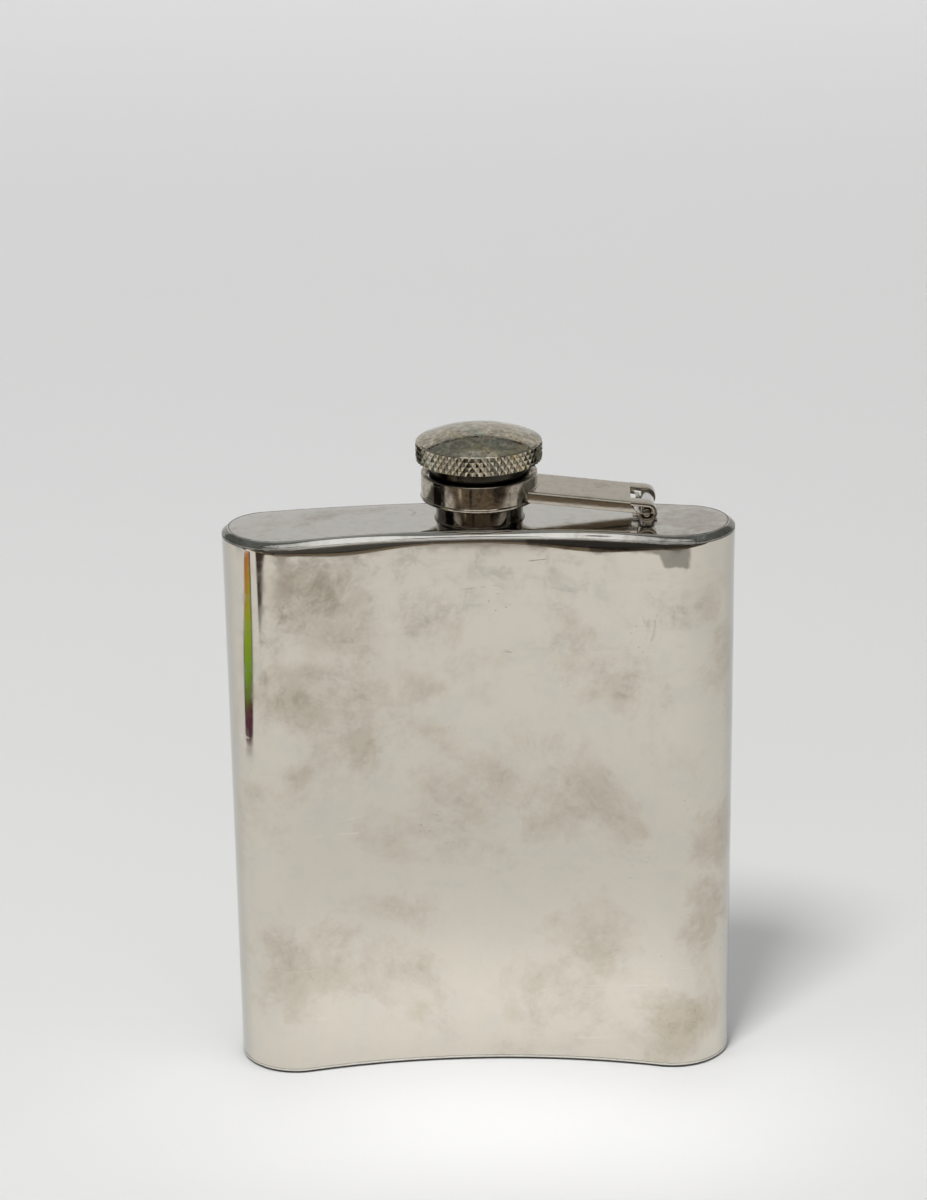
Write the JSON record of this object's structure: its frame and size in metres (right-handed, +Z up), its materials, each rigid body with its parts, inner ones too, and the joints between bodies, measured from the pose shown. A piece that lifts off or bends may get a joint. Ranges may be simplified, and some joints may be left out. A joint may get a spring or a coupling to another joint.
{
  "type": "hip flask",
  "caption": "Curved pocket flask in polished steel with a hinged arm and ring that keep its knurled screw cap captive.",
  "frame": {"origin": "middle of the bounding box, on the plane that the base rests on", "axes": "+Z up along the neck, +X along the width towards the arm's hinge, -Y out of the hollow face"},
  "size_m": [0.095, 0.026, 0.1254],
  "materials": {
    "shell": "polished",
    "plates": "polished",
    "neck": "polished",
    "arm": "polished",
    "pin": "polished",
    "cap": "polished",
    "stem": "polished",
    "gasket": "matt"
  },
  "bodies": {
    "flask": {"body_shell": "shell", "top_plate": "plates", "base_plate": "plates", "neck": "neck", "hinge_bracket": "arm"},
    "arm": {"hinge_arm": "arm", "captive_ring": "arm", "hinge_pin": "pin"},
    "retainer": {"retaining_ring": "pin"},
    "cap": {"cap_stem": "stem", "cap_gasket": "gasket", "cap_shell": "cap"}
  },
  "joints": [
    {"name": "arm_swing", "type": "hinge", "parent": "flask", "child": "arm", "pos_m": [0.03115, 0.00045, 0.11045], "axis": [0.0262, 0.9997, 0], "range_deg": [0, 170]},
    {"name": "cap_lift", "type": "slide", "parent": "arm", "child": "retainer", "axis": [0, 0, 1], "range_m": [-0.00225, 0]},
    {"name": "cap_turn", "type": "hinge", "parent": "retainer", "child": "cap", "pos_m": [0.0003, 0.00126, 0.1201], "axis": [0, 0, 1], "range_deg": [-540, 0]}
  ],
  "couplings": [
    {"joint": "cap_lift", "follows": "cap_turn", "m_per_rad": 0.00023873}
  ]
}
